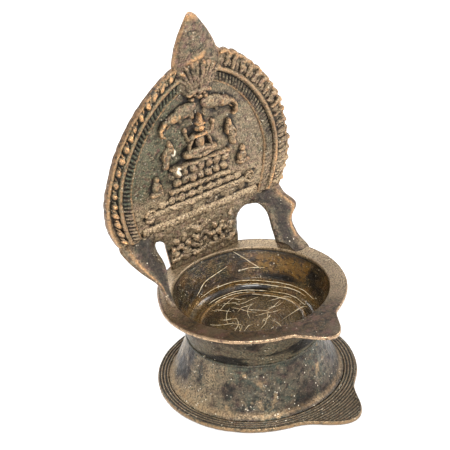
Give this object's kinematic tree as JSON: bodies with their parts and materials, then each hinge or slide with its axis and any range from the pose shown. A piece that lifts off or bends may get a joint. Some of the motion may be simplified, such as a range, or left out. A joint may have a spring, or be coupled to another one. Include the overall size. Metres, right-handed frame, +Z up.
{
  "type": "standing oil lamp",
  "caption": "Small cast bronze oil lamp with a leaf-shaped bowl on a hollow turned foot and an arched relief back plate.",
  "frame": {"origin": "on the resting plane at the axis of the round foot and bowl", "axes": "+Z up; -Y toward the beaks of the rim and the foot; the back plate stands on the +Y side"},
  "size_m": [0.0794, 0.0845, 0.1373],
  "materials": {
    "plate": "worn brown patina",
    "relief": "worn brown patina with bright high points",
    "rim": "handled brown patina with bright edges",
    "bowl": "dark oily patina",
    "foot": "dark green-brown patina with pits",
    "washer": "dull brass"
  },
  "bodies": {
    "root": {"foot_flange": "foot", "foot_skirt": "foot", "waist_bead": "rim", "bowl": "bowl", "tenon_washer": "washer", "bowl_rim": "rim", "back_plate": "plate", "finial": "plate", "leg_left": "plate", "leg_right": "plate", "border_left": "relief", "border_right": "relief", "bosses_left": "relief", "bosses_right": "relief", "roll_left": "relief", "roll_right": "relief", "ribs_left": "relief", "ribs_right": "relief", "lion_mask": "relief", "goddess": "relief", "elephant_left": "relief", "elephant_right": "relief", "attendant_left": "relief", "attendant_right": "relief", "side_figure_left": "relief", "side_figure_right": "relief", "lotus_throne": "relief", "throne_ledge": "relief", "bead_row": "relief", "cornice": "relief", "scroll_left": "relief", "scroll_right": "relief", "rope_moulding": "relief", "panel_scrollwork": "relief"}
  },
  "joints": []
}
